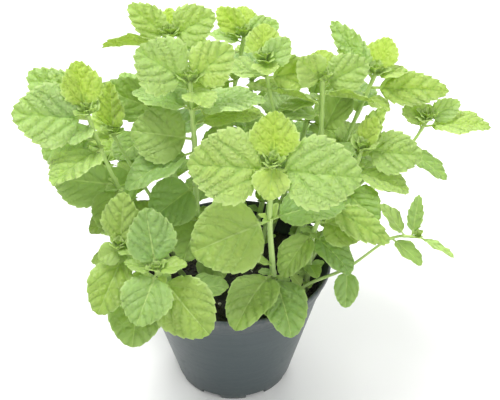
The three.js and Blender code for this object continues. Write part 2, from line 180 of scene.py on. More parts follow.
# A number that varies over a surface: arithmetic on it adds Math nodes
class Varying:
    def __init__(self, paint, socket):
        self.paint = paint
        self.socket = socket

    def join(self, operation, *terms):
        return self.paint.node("ShaderNodeMath", {"operation": operation}, dict(enumerate(terms)))

    def __add__(self, other):
        return self.join("ADD", self, other)

    def __sub__(self, other):
        return self.join("SUBTRACT", self, other)

    def __rsub__(self, other):
        return self.join("SUBTRACT", other, self)

    def __mul__(self, other):
        return self.join("MULTIPLY", self, other)

    def __abs__(self):
        return self.join("ABSOLUTE", self)

    # A sum and a product are the same whichever side the plain number stands on
    __radd__ = __add__
    __rmul__ = __mul__

    # What is left over the whole number below
    def fraction(self):
        return self.join("FRACT", self)

    # 0 below low, 1 above high, and smooth between them
    def between(self, low, high):
        settings = {"interpolation_type": "SMOOTHSTEP", "clamp": True}
        return self.paint.node("ShaderNodeMapRange", settings, {0: self, 1: low, 2: high})


# One material and the nodes that its surface is worked out with
class Paint:
    def __init__(self, name):
        self.material = bpy.data.materials.new(name)
        self.material.use_nodes = True
        self.tree = self.material.node_tree
        self.tree.nodes.clear()

    # Any node: its type, its settings, and the values or links of its sockets, with a colour as its
    # red, green and blue
    def node(self, kind, settings=None, sockets=None, output=0):
        made = self.tree.nodes.new(kind)
        for key, value in (settings or {}).items():
            setattr(made, key, value)
        for key, value in (sockets or {}).items():
            if isinstance(value, Varying):
                self.tree.links.new(value.socket, made.inputs[key])
            elif made.inputs[key].type == "RGBA":
                made.inputs[key].default_value = (*value, 1.0)
            else:
                made.inputs[key].default_value = value
        return Varying(self, made.outputs[output]) if made.outputs else None

    def attribute(self, name):
        return self.node("ShaderNodeAttribute", {"attribute_name": name}, output="Fac")

    def place(self):
        return self.node("ShaderNodeTexCoord", output="Object")

    def map(self):
        return self.node("ShaderNodeUVMap", {"uv_map": "veins"})

    # Soft cloudy noise from 0 to 1, with so many waves to a metre of the object
    def cloud(self, scale, detail=3.0, vector=None):
        sockets = {"Vector": vector or self.place(), "Scale": scale, "Detail": detail}
        return self.node("ShaderNodeTexNoise", None, sockets)

    # A base colour with others laid over it in turn, each by its share
    def layers(self, base, *upper):
        for share, shade in upper:
            base = self.node("ShaderNodeMix", {"data_type": "RGBA"}, {0: share, 6: base, 7: shade}, output=2)
        return base

    def bump(self, height, depth, strength=1.0):
        return self.node("ShaderNodeBump", None, {"Height": height, "Distance": depth, "Strength": strength})

    # The finished surface, with light passing through by a share where the piece is thin
    def finish(self, sockets, glow=None, glowShare=0.0):
        surface = self.node("ShaderNodeBsdfPrincipled", None, sockets)
        if glow:
            through = self.node("ShaderNodeBsdfTranslucent", None, {"Color": glow})
            surface = self.node("ShaderNodeMixShader", None, {0: glowShare, 1: surface, 2: through})
        self.node("ShaderNodeOutputMaterial", None, {"Surface": surface})
        return self.material


# Leaf skin. The map's first number counts the side veins, which lie where it is whole. The fine net is made
# of cells in the object's space. Veins are grooves above and stand out below. Above, painted shade darkens
# the net's creases, the vein lines and the valleys beside them on older leaves, and the foot of a fresh
# leaf.
# Below, the vein lines are paler, and on a fresh leaf they are pale. A painted sheen pales the blade in
# patches and towards its edge and tip.
def leafSkin(name, look):
    paint = Paint(name)
    age, tone, rim, upper, edge, rib = map(paint.attribute, ("age", "tone", "rim", "upper", "edge", "rib"))
    lower = 1 - upper
    fresh = tone.between(0.55, 0.9)
    older = 1 - fresh
    warmth = tone * 0.5 + 0.5
    ribLine = 1 - rib.between(0.6, 1.3)
    patches = paint.cloud(look["patchScale"])
    mottle = paint.cloud(look["mottleScale"], 2.0)
    grain = paint.cloud(look["grainScale"], 2.0)
    phase = paint.node("ShaderNodeSeparateXYZ", None, {0: paint.map()})
    side = abs(phase.fraction() - 0.5) * 2
    vein = side.between(look["veinFrom"], 1.0)
    valley = side.between(look["valleyFrom"], 1.0) * (0.45 + patches.between(0.3, 0.7) * 0.7)
    net = paint.node("ShaderNodeTexVoronoi", {"feature": "DISTANCE_TO_EDGE"},
                     {"Vector": paint.place(), "Scale": look["netScale"], "Randomness": 1.0})
    netLine = 1 - net.between(0.0, 0.16)
    pillow = net.between(0.0, 0.4)
    base = paint.layers(
        look["young"],
        (age, look["grown"]),
        (warmth * warmth * look["warmShare"], look["warm"]),
        ((0 - tone).between(0.1, 1.0) * look["coolShare"], look["cool"]),
        # painted sheen: the blade paler in patches and towards its edge and tip
        (patches.between(0.4, 0.7) * look["patchSheenShare"] + edge * look["edgeSheenShare"], look["pale"]),
        (mottle.between(0.45, 0.75) * look["mottleShare"], look["warm"]),
        # painted shade: the upper face darkened in the net's creases, and on older leaves in the valleys and
        # along the vein lines
        ((1 - pillow) * upper * look["netPaintedShade"] * (0.3 + patches + edge), look["paintedShade"]),
        (valley * upper * older * look["valleyPaintedShade"], look["paintedShade"]),
        (vein * upper * older * look["veinPaintedShade"], look["paintedShade"]),
        ((0.35 + pillow * 0.65) * fresh * look["freshCellShare"], look["freshCell"]),
        ((vein + netLine * 0.4) * fresh * look["freshVeinShare"], look["freshVein"]),
        # painted shade: a fresh leaf darkened at its foot, in the heart of the tip's tuft
        ((1 - edge.between(0.0, 0.05)) * fresh * look["freshFootShadeShare"], look["paintedShade"]),
        (vein * upper * (1 - edge.between(0.05, 0.4)) * look["veinPale"], look["rib"]),
        (lower * look["underShare"], look["under"]),
        (lower * (vein + netLine * 0.3) * look["underVeinShare"], look["rib"]),
        (ribLine * lower * look["underRibShare"], look["rib"]),
        (ribLine * upper * older * look["ribShare"], look["ribAbove"]),
        (ribLine * upper * fresh * look["freshVeinShare"], look["freshVein"]),
        (rim.between(0.3, 1.0) * look["rimShare"], look["rim"]),
    )
    height = (pillow * 0.55 - valley * 0.45) * (upper * 1.6 - 0.8) + grain * 0.1
    skin = {
        "Base Color": base,
        "Roughness": look["roughness"] + grain * 0.2 - pillow * 0.06,
        "Normal": paint.bump(height, look["reliefDepth"]),
        "Sheen Weight": look["sheen"],
        "Sheen Roughness": 0.4,
    }
    return paint.finish(skin, look["glow"], look["glowShare"])


# What all leaves share: waves to a metre of each pattern, and how far each layer of colour covers
# In the looks below, the darkest green is painted shade, laid into the grooves and at a fresh leaf's foot,
# and the pale colour is a painted sheen in patches and towards the edge and tip
leafLook = {
    "patchScale": 70, "mottleScale": 380, "grainScale": 1300, "patchSheenShare": 0.25, "mottleShare": 0.22,
    "coolShare": 0.85, "underShare": 0.55, "underVeinShare": 0.5, "underRibShare": 0.85, "rimShare": 0.4,
    "freshCell": (0.34, 0.53, 0.06), "freshCellShare": 0.62, "freshFootShadeShare": 0.6,
    "freshVein": (0.60, 0.76, 0.12), "freshVeinShare": 0.8,
}
youngLook = {
    **leafLook,
    "young": (0.45, 0.585, 0.21), "grown": (0.37, 0.52, 0.18), "warm": (0.58, 0.70, 0.08),
    "cool": (0.44, 0.63, 0.27), "pale": (0.66, 0.78, 0.40), "paintedShade": (0.23, 0.42, 0.10),
    "under": (0.56, 0.72, 0.20), "rib": (0.68, 0.79, 0.34), "ribAbove": (0.27, 0.45, 0.12),
    "rim": (0.72, 0.82, 0.44), "glow": (0.70, 0.88, 0.07), "glowShare": 0.42,
    "warmShare": 0.85, "edgeSheenShare": 0.35, "ribShare": 0.6, "valleyFrom": 0.5, "valleyPaintedShade": 0.46,
    "veinFrom": 0.84, "veinPaintedShade": 0.3, "veinPale": 0.0, "netScale": 330, "netPaintedShade": 0.2,
    "roughness": 0.42, "reliefDepth": 0.0015, "sheen": 0.2,
}
grownLook = {
    **leafLook,
    "young": (0.40, 0.55, 0.18), "grown": (0.295, 0.44, 0.13), "warm": (0.47, 0.59, 0.09),
    "cool": (0.28, 0.46, 0.165), "pale": (0.52, 0.65, 0.27), "paintedShade": (0.19, 0.37, 0.07),
    "under": (0.49, 0.67, 0.23), "rib": (0.61, 0.74, 0.30), "ribAbove": (0.59, 0.74, 0.28),
    "rim": (0.61, 0.75, 0.33), "glow": (0.58, 0.77, 0.07), "glowShare": 0.4,
    "warmShare": 0.7, "edgeSheenShare": 0.25, "ribShare": 0.85, "valleyFrom": 0.55, "valleyPaintedShade": 0.3,
    "veinFrom": 0.88, "veinPaintedShade": 0.24, "veinPale": 0.3, "netScale": 280, "netPaintedShade": 0.15,
    "roughness": 0.38, "reliefDepth": 0.0012, "sheen": 0.12,
}


# Stem skin: pale green, duller and browner towards the soil, with fine ridges along the stem.
# The map's first number runs along the stem in millimetres and its second round it from 0 to 4.
def stemSkin():
    paint = Paint("stem_skin")
    age = paint.attribute("age")
    long = paint.node("ShaderNodeVectorMath", {"operation": "MULTIPLY"}, {0: paint.map(), 1: (0.12, 3.0, 1)})
    streaks = paint.cloud(2.0, 3.0, long)
    speck = paint.cloud(900, 2.0)
    base = paint.layers(
        (0.56, 0.76, 0.22),
        (age, (0.46, 0.64, 0.24)),
        (streaks.between(0.4, 0.75) * 0.5, (0.66, 0.80, 0.36)),
        (age.between(0.7, 1.0) * speck.between(0.45, 0.7) * 0.5, (0.30, 0.26, 0.13)),
    )
    skin = {
        "Base Color": base,
        "Roughness": 0.4 + streaks * 0.2,
        "Normal": paint.bump(streaks + speck * 0.3, 0.0003),
        "Sheen Weight": 0.25,
    }
    return paint.finish(skin, (0.60, 0.80, 0.12), 0.2)


# Pot plastic: dark slate with faint flow marks round the pot, dust under the rim and fine scuffs
def potPlastic():
    paint = Paint("pot_plastic")
    dust = paint.attribute("dust")
    flow = paint.node("ShaderNodeMapping", None, {"Vector": paint.place(), "Scale": (1.0, 1.0, 9.0)})
    bands = paint.cloud(24, 3.0, flow)
    fine = paint.cloud(420, 4.0)
    scuff = paint.cloud(150, 5.0).between(0.58, 0.74)
    base = paint.layers(
        (0.036, 0.052, 0.056),
        (bands, (0.050, 0.069, 0.074)),
        (scuff * 0.12, (0.13, 0.15, 0.16)),
        (dust * fine.between(0.35, 0.7) * 0.5, (0.20, 0.19, 0.17)),
    )
    skin = {
        "Base Color": base,
        "Roughness": 0.36 + fine * 0.1 + scuff * 0.12 + dust * 0.15,
        "Normal": paint.bump(fine * 0.5 + bands, 0.00025, 0.6),
        "Specular IOR Level": 0.4,
        "Coat Weight": 0.15,
        "Coat Roughness": 0.3,
    }
    return paint.finish(skin)


# Peat: near black, mottled with brown, damp in the hollows
def peat():
    paint = Paint("peat")
    clods = paint.cloud(160, 5.0)
    dots = paint.cloud(900, 3.0)
    base = paint.layers(
        (0.015, 0.016, 0.016),
        (clods.between(0.35, 0.7), (0.050, 0.045, 0.041)),
        (dots.between(0.66, 0.74) * 0.6, (0.14, 0.10, 0.07)),
    )
    skin = {
        "Base Color": base,
        "Roughness": 0.75 + clods * 0.2,
        "Normal": paint.bump(clods + dots * 0.5, 0.0014),
    }
    return paint.finish(skin)


# Crumbs: peat, bark and pale mineral grains, told apart by one value for each crumb
def crumbSkin():
    paint = Paint("crumb_skin")
    spots = paint.cloud(1400, 3.0)
    base = paint.layers(
        (0.022, 0.019, 0.017),
        (spots.between(0.35, 0.7), (0.085, 0.068, 0.052)),
        (paint.attribute("pale"), (0.62, 0.60, 0.54)),
    )
    skin = {
        "Base Color": base,
        "Roughness": 0.72 + spots * 0.22,
        "Normal": paint.bump(spots, 0.0006),
    }
    return paint.finish(skin)


# Floor: plain pale board with barely visible cloudiness
def paleFloor():
    paint = Paint("pale_floor")
    haze = paint.cloud(3, 2.0)
    base = paint.layers((0.86, 0.86, 0.86), (haze, (0.88, 0.88, 0.88)))
    return paint.finish({"Base Color": base, "Roughness": 0.6 + haze * 0.1, "Specular IOR Level": 0.2})


leafSkins = [leafSkin("young_leaf", youngLook), leafSkin("grown_leaf", grownLook)]
stemMaterial = stemSkin()
print("materials")


# Plant growth, in millimetres, as in the frame

soilTop = 74
toFront = (0, -0.8, 0.6)
toBack = (0, 0.6, 0.8)
toLeft = (-0.75, -0.25, 0.6)
toRight = (0.75, -0.25, 0.6)
toRear = (0, 0.85, 0.5)


# Two leaves on opposite sides of the stem
def pair(at, turn, rise, length, width, droop):
    return [(at, turn, rise, length, width, droop), (at, turn + 180, rise, length, width, droop)]


# Each shoot's node with the points of its path from the soil to the tip, and then its leaves:
# place on the stem, turn, rise, length, width, droop and, where it has one, the way its face is turned
shoots = {
    "stem_front": [
        [(25, -20, soilTop), (23, -33, 110), (21, -42, 146), (22, -50, 186)],
        (0.97, 180, 4, 44, 38, 22, toFront), (0.97, -8, -1, 46, 37, 24, toFront), (1, 84, 66, 27, 25, -10),
        (1, -100, -42, 19, 19, 10, toFront), (0.66, -162, -15, 46, 40, 24, toFront),
        (0.66, 8, 8, 42, 32, 25), (0.22, -120, -12, 46, 28, 46), (0.18, -76, -15, 43, 27, 46),
    ],
    "stem_left_centre": [
        [(-14, -5, soilTop), (-20, -6, 120), (-20, -8, 168), (-21, -12, 213)],
        (0.99, 176, 34, 33, 31, 20, toFront), (0.99, 12, 40, 30, 24, 10, toFront),
        (0.95, -60, 5, 22, 18, 15), (0.95, 140, 20, 26, 18, 15), (0.86, 150, 4, 38, 28, 25),
        (0.86, 2, 8, 40, 28, 20), (0.79, 20, 0, 42, 30, 30), (0.72, 172, 4, 36, 32, 25, toFront),
        (0.66, -158, -18, 44, 28, 25), (0.64, 0, 12, 34, 28, 25, toFront),
        (0.5, -150, -25, 32, 28, 25, toFront), (0.34, -105, -22, 30, 26, 30, toFront),
        (0.3, -35, -5, 30, 24, 35, toFront), (0.15, -62, -2, 26, 20, 30, toFront),
    ],
    "stem_far_left": [
        [(-30, -4, soilTop), (-52, -6, 112), (-66, -8, 148), (-77, -10, 193)],
        (1, 112, 66, 28, 22, -12), (0.97, -167, 12, 41, 34, 20, toFront),
        (0.98, 166, 38, 40, 24, 5, toFront), (0.95, -112, -5, 18, 16, 15),
        (0.88, 172, -20, 36, 28, 20, toFront), (0.83, -150, 0, 40, 26, 20),
        (0.64, 172, 2, 38, 30, 25, toFront), (0.62, -103, -14, 30, 20, 25), (0.45, 205, -10, 28, 24, 30),
    ],
    "stem_upper_left": [
        [(-14, 14, soilTop), (-32, 20, 120), (-40, 26, 167), (-34, 30, 219)],
        (0.99, 172, 40, 29, 17, 10, toFront), (0.99, 8, 28, 29, 23, 15, toFront),
        (0.96, 176, 0, 38, 26, 12, toBack), (0.96, -8, -10, 26, 22, 15), (1, 92, 60, 16, 12, 0),
        (0.8, 100, 10, 34, 26, 25), (0.7, 178, 24, 40, 24, 15, toFront), (0.6, 40, 5, 34, 26, 30),
        (0.4, 120, -5, 34, 26, 35),
    ],
    "stem_rear_centre": [
        [(16, 10, soilTop), (22, 14, 118), (25, 18, 165), (18, 22, 208)],
        (1, 90, 52, 21, 20, -10), (0.97, 20, 44, 21, 16, 5, toFront), (0.99, -85, 0, 15, 15, 5),
        (0.92, 2, 8, 28, 20, 15, toFront), (0.92, 174, 12, 29, 22, 20), (0.86, -8, -4, 30, 18, 15, toBack),
        (0.7, 70, 5, 36, 28, 25), (0.7, 250, 5, 36, 28, 25, toFront), *pair(0.48, 160, 5, 34, 26, 30),
    ],
    "stem_rear_left": [
        [(-4, 28, soilTop), (-4, 34, 118), (-1, 42, 165), (7, 50, 210)],
        (1, 160, 42, 22, 15, 5, toFront), (0.97, 172, 12, 21, 18, 10), (0.93, -170, -10, 25, 17, 15),
        (0.99, 5, 22, 22, 17, 5, toFront), (0.95, 40, 5, 28, 14, 10), (0.99, 88, 50, 20, 17, 5),
        (0.8, 60, 5, 34, 26, 25), (0.8, 200, 0, 34, 26, 25, toFront), *pair(0.58, 110, 0, 38, 30, 30),
        (0.36, 210, -5, 34, 26, 35),
    ],
    "stem_right_centre": [
        [(32, 4, soilTop), (44, 11, 112), (51, 17, 155), (51, 20, 197)],
        (0.99, 176, 32, 21, 20, 5, toFront), (1, 105, 52, 19, 20, -5), (0.97, 6, 28, 29, 22, 12, toFront),
        (0.93, -10, 0, 30, 22, 12, toBack), (0.9, -176, -8, 26, 18, 15), (0.82, 176, 3, 26.8, 20, 15),
        (0.72, 48, 45, 34, 24, 10), (0.68, -70, 5, 32, 26, 25), *pair(0.5, 150, 5, 34, 26, 30),
    ],
    "stem_right": [
        [(36, 20, soilTop), (51, 22, 112), (67, 25, 155), (82, 30, 196)],
        (0.97, 148, 46, 41, 15, 5, toFront), (1, 60, 50, 22, 20, -5), (0.99, -8, 12, 19, 17, 0),
        (0.93, -8, 9, 45, 19, 10, toFront), (0.9, -168, -10, 23, 18, 10), (0.88, -35, -12, 17, 14, 10),
        (0.8, 90, 10, 32, 24, 25), *pair(0.62, 60, 0, 34, 22, 30), (0.4, 310, 0, 32, 26, 30),
    ],
    "stem_right_mid": [
        [(42, -4, soilTop), (52, -5, 102), (64, -3, 134), (74, 0, 164)],
        (0.9, 45, 64, 36, 17, 0), (0.99, -10, 0, 34, 24, 15, toFront), (1, 20, 50, 20, 16, 5),
        (0.84, -25, -8, 34, 23, 18), (0.7, -60, -5, 32, 24, 25, toFront), (0.55, 130, 0, 30, 24, 25),
    ],
    "stem_far_right": [
        [(46, 6, soilTop), (58, 6, 102), (72, 8, 130), (88, 11, 147), (103, 15, 157), (112, 17, 173)],
        (0.98, 150, 34, 16, 14, 5, toFront), (1, 12, 28, 21, 13, 5, toFront), (0.95, -12, 7, 38, 26, 15),
        (0.93, 100, 15, 22, 17, 15), (0.76, -33, -22, 30, 16, 15), (0.6, 70, 0, 32, 26, 25),
        (0.5, -30, -10, 22, 18, 20),
    ],
    "stem_front_right": [
        [(44, -16, soilTop), (45, -18, 97), (47, -21, 122), (54, -26, 145)],
        (0.66, -138, -38, 32, 21, 30), (0.62, -36, -30, 32, 20, 30), (0.78, -14, -10, 28, 22, 20, toFront),
        (0.98, -32, -16, 40, 16, 20, toFront), (0.96, 165, 5, 24, 20, 10), (0.3, -75, 10, 16, 10, 30),
    ],
    "stem_trailing": [
        [(33, -27, soilTop), (44, -27, 87), (66, -32, 104), (87, -40, 131), (101, -46, 137)],
        (0.5, -95, -50, 23, 14, 15), (0.76, -40, -22, 22, 12, 15), (0.94, 70, 74, 24, 8, 0),
        (0.87, 150, 48, 22, 13, 0), (1, -30, -14, 22, 6, 10),
    ],
    "stem_low_front": [
        [(-20, -34, soilTop), (-28, -46, 94), (-35, -57, 113), (-39, -65, 130)],
        (0.98, 110, 64, 34, 26, -10), (0.96, -112, -32, 31, 27, 18, toFront),
        (0.88, -36, -38, 42, 32, 20, toFront), (1, 172, 12, 17, 14, 5), (1, 0, 12, 17, 14, 5),
        (0.6, 205, -10, 26, 22, 30), (0.34, 15, 8, 28, 22, 25),
    ],
    "stem_low_left": [
        [(-32, -22, soilTop), (-44, -31, 94), (-54, -41, 114), (-60, -50, 133)],
        (0.98, 75, 68, 31, 22, -10), (0.88, -118, -38, 36, 24, 18, toFront),
        (0.97, -150, -8, 13, 13, 10, toFront), (1, -30, 10, 15, 13, 5),
        (0.52, -98, -37, 44, 33, 30, toFront), (0.66, 165, 0, 26, 22, 25),
    ],
    "stem_thin_left": [
        [(-28, 12, soilTop), (-42, 12, 108), (-57, 12, 140), (-69, 15, 165)],
        (1, 62, 57, 32, 20, 0), (0.97, 182, -14, 20, 16, 10), (0.95, 125, 35, 24, 18, 5),
        (0.62, 100, -10, 32, 24, 25), (0.62, 225, -5, 32, 24, 25, toFront),
    ],
    "stem_rear_middle": [
        [(4, 41, soilTop), (7, 57, 110), (10, 71, 145), (12, 84, 172)],
        *pair(0.99, 20, 25, 24, 18, 15), (0.96, 110, 30, 24, 18, 5), (0.9, 100, -10, 36, 30, 25, toRear),
        (0.9, -60, 10, 26, 20, 15), *pair(0.73, 5, 0, 36, 30, 30), (0.55, 100, -15, 40, 32, 30, toRear),
        *pair(0.38, 20, -5, 34, 28, 40),
    ],
    "stem_rear_right": [
        [(22, 34, soilTop), (35, 46, 110), (45, 56, 145), (50, 62, 176)],
        *pair(0.99, 150, 25, 22, 17, 10), (0.95, 60, 30, 24, 19, 5), (0.88, 40, 0, 36, 28, 25),
        (0.88, 230, 5, 26, 20, 15), *pair(0.7, 140, 0, 36, 25, 30), (0.52, 55, -12, 38, 32, 30, toRear),
        (0.35, 10, -5, 34.8, 18, 58),
    ],
    "stem_rear_far_left": [
        [(-24, 32, soilTop), (-38, 48, 108), (-50, 60, 138), (-56, 68, 162)],
        *pair(0.99, 40, 25, 22, 17, 10), (0.95, 140, 30, 24, 19, 5), (0.86, 130, 0, 38, 30, 25, toRear),
        (0.86, -50, 10, 26, 20, 15), *pair(0.66, 55, 0, 36, 28, 30), (0.48, 140, -15, 38, 32, 30),
        (0.34, 100, -5, 32, 26, 40),
    ],
    "stem_rear_low": [
        [(14, 42, soilTop), (19, 53, 92), (25, 70, 108), (31, 84, 122)],
        *pair(0.98, 0, 12, 26, 22, 20), (0.93, 90, 15, 26, 22, 20), (0.8, 70, -35, 36, 30, 30, toRear),
        (0.62, 140, -25, 34, 28, 30, toRear), (0.5, 20, -12, 32, 26, 40),
    ],
    "stem_left_rear": [
        [(-38, 18, soilTop), (-50, 24, 92), (-66, 32, 112), (-80, 38, 130)],
        *pair(0.97, 80, 25, 24, 20, 15), (0.93, 165, 15, 26, 22, 15, toLeft),
        (0.8, 160, -25, 36, 30, 30, toLeft), *pair(0.6, 100, -5, 32, 26, 30),
        (0.42, 180, -15, 34, 26, 45, toLeft),
    ],
    "stem_right_rear": [
        [(37, 24, soilTop), (47, 32, 94), (64, 42, 114), (80, 52, 130)],
        *pair(0.98, 120, 15, 22, 19, 15), (0.94, 25, 15, 24, 20, 15), (0.82, 25, -20, 34, 28, 25, toRight),
        *pair(0.6, 100, 0, 31.7, 20, 16), (0.42, 20, -15, 34, 28, 45, toRight),
    ],
}

# The form of stems and blades in the frame, and how a leaf there gave way to others: turned aside in
# rings of steps, in degrees, or smaller. Its tip is the same within the last distance.
growth = {
    "plantingDepth": 13, "bladeThickness": 0.7, "fold": 0.22, "stalkShare": 0.13,
    "widestAt": 0.78, "roundness": (0.8, 0.58),
    "giveStep": 7, "giveRings": 4, "giveDirections": 8, "giveSizes": (1, 0.86, 0.72), "sameTip": 0.3,
}


# Points of an even curve at shares of its length: on each stretch between path points a cubic that
# passes through both, with the neighbouring points giving the slope at each end
def curveAt(path, share):
    knots = np.array(path, float)
    knots = np.vstack([2 * knots[0] - knots[1], knots, 2 * knots[-1] - knots[-2]])
    place = np.clip(np.atleast_1d(share), 0, 1) * (len(path) - 1)
    first = np.minimum(place.astype(int), len(path) - 2)
    t = (place - first)[:, None]
    a, b, c, d = (knots[first + k] for k in range(4))
    return b + 0.5 * t * (c - a + t * (2 * a - 5 * b + 4 * c - d + t * (3 * b - a - 3 * c + d)))


# The directions of leaves along the chord, up out of the face, and across, one row for each turn and rise
def leafFrame(turn, rise, facing):
    t = np.radians(turn)
    r = np.radians(rise)
    along = np.stack([np.cos(r) * np.cos(t), np.cos(r) * np.sin(t), np.sin(r)], axis=-1)
    if facing is None:
        up = np.stack([-np.sin(r) * np.cos(t), -np.sin(r) * np.sin(t), np.cos(r)], axis=-1)
    else:
        up = unit(facing - along * (along @ np.array(facing))[..., None])
    return along, up, np.cross(up, along)


# How far a leaf's middle line turns over its length, in radians, and never quite nothing
def bendOf(droop):
    return math.radians(droop) or 1e-4


# The way a leaf grew in the frame: as wished, turned aside or smaller.
# Its tip in the node's mesh, one corner above and one below, tells which.
def grownWay(root, leaf, corners):
    turn, rise, length, width, droop, facing = leaf
    sizes = growth["giveSizes"]
    step = growth["giveStep"] * np.repeat(np.arange(1, growth["giveRings"] + 1), growth["giveDirections"])
    angle = np.tile(evenAngles(growth["giveDirections"]), growth["giveRings"])
    aside = np.concatenate([[0], step * np.cos(angle)])
    above = np.concatenate([[0], step * np.sin(angle)])
    size = np.repeat(sizes, len(aside))
    turns = turn + np.tile(aside, len(sizes))
    rises = rise + np.tile(above, len(sizes))
    along, up, across = leafFrame(turns, rises, facing)
    bend = bendOf(droop)
    reach = 2 * math.sin(bend / 2) / bend * length * size
    miss = np.zeros(len(size))
    for side in (0.5, -0.5):
        lift = side * growth["bladeThickness"]
        tip = root + along * (reach + math.sin(bend / 2) * lift)[:, None] + up * math.cos(bend / 2) * lift
        gaps = np.linalg.norm(tip[:, None] - corners[None], axis=-1).min(axis=1)
        miss = np.maximum(miss, gaps)
    best = int(np.argmin(miss))
    if miss[best] > growth["sameTip"]:
        return None
    return turns[best], rises[best], length * size[best], width * size[best], droop, facing


# Fine leaves

leafShape = {
    "largeLeaf": 40, "toothedLeaf": 34, "sizePower": 0.6,  # full forms from these lengths, less below them
    "stalkHalf": 0.8, "stalkThickness": 1.15, "thickness": 0.5, "edgeThickness": 0.2,
    "ribHeight": 0.75, "ribWidth": 0.75, "grooveDepth": 0.5, "grooveWidth": 1.0,
    "veins": 4, "fewVeins": 3, "fewVeinsTo": 30, "veinStart": 0.6, "veinLean": 0.7, "veinArch": 0.85,
    "veinShift": 0.24, "veinWander": 0.12, "wanderPitches": (13, 12), "veinSpread": 0.1, "spreadWaves": 1.3,
    "cell": 4.4, "cellShare": 0.2, "cellPower": 0.7, "pillowPower": 0.45, "pillowsFrom": (0.1, 2.2),
    "ruffle": 0.9, "ruffleWaves": (2.3, 2.0), "twist": 0.07, "tipCurl": 1.6,
    "toothPitch": 5.4, "toothStart": 0.1, "toothEnd": 0.94, "toothLean": 0.6, "toothPower": 5,
    "noTeethTo": 0.05, "noTeethFrom": 1.04, "toothEase": 0.14,  # shares of the edge, eased in from both
    # on a young leaf and on a grown one
    "quilt": (2.2, 1.5), "tooth": (1.3, 0.45),
    # from yellowish at 1 to bluish at -1: the middle, spread and limits of a random draw
    "tone": (-0.3, 0.6), "toneLimits": (-1, 0.6), "grownSkinFrom": 0.45,
}
# How fine a leaf's mesh is: its columns across half the leaf, its rows along one tooth with how far the
# edge stands out at each, and its rows on the stalk, below the teeth and above them
details = {
    "fine": {
        "columns": (0, 0.05, 0.13, 0.23, 0.34, 0.46, 0.58, 0.7, 0.81, 0.91, 1),
        "inTooth": (0, 0.3, 0.58, 0.8, 0.9), "standing": (0, 0.4, 0.78, 1, 0.45),
        "stalk": (0, 0.35, 0.7, 0.95), "foot": (0.012, 0.035, 0.065), "tip": (0.94, 0.965, 0.988),
    },
    "middling": {
        "columns": (0, 0.08, 0.22, 0.38, 0.55, 0.72, 0.87, 1),
        "inTooth": (0, 0.4, 0.8), "standing": (0, 0.55, 1),
        "stalk": (0, 0.5, 0.9), "foot": (0.02, 0.06), "tip": (0.94, 0.98),
    },
    "tiny": {
        "columns": (0, 0.35, 0.7, 1), "inTooth": (0, 0.75), "standing": (0, 1),
        "stalk": (0, 0.7), "foot": (0.04,), "tip": (0.96,),
    },
}


# A measure between its value on a young leaf and that on a grown one
def aged(values, age):
    young, grown = values
    return young + (grown - young) * age


# The outline of a blade, from stalk to tip: half its width at a share of its length is a sine of that
# share raised to a power, which is widest below the middle. Rows stand where teeth need them, at even
# steps along the edge. Each row has its share of the length, its half width and its tooth's push.
def bladeRows(length, width, mesh, toothSize, roundness):
    share = np.linspace(0, 1, 241)
    half = 0.5 * width * np.clip(np.sin(np.pi * share ** growth["widestAt"]), 0, 1) ** roundness
    outline = np.stack([share * length, half], axis=-1)
    tangent = unit(np.gradient(outline, axis=0))
    edge = alongLine(outline)
    edge /= edge[-1]
    shape = leafShape
    start = shape["toothStart"]
    span = shape["toothEnd"] - start
    margin = (length + 0.6 * width) / min(1, length / shape["toothedLeaf"]) ** shape["sizePower"]
    teeth = max(3, round(span * margin / shape["toothPitch"]))
    toothAt = (start + span * (np.arange(teeth)[:, None] + np.array(mesh["inTooth"])) / teeth).ravel()
    at = np.concatenate([mesh["foot"], toothAt, mesh["tip"]])
    push = np.pad(np.tile(mesh["standing"], teeth), (len(mesh["foot"]), len(mesh["tip"])))
    inside = np.minimum(at - shape["noTeethTo"], shape["noTeethFrom"] - at)
    push = push * toothSize * np.clip(inside / shape["toothEase"], 0, 1)
    rowShare = np.interp(at, edge, share)
    tx, ty = (np.interp(rowShare, share, part) for part in tangent.T)
    lean = shape["toothLean"]
    return rowShare, np.interp(rowShare, share, half), push * (lean * tx - ty), push * (tx + lean * ty)


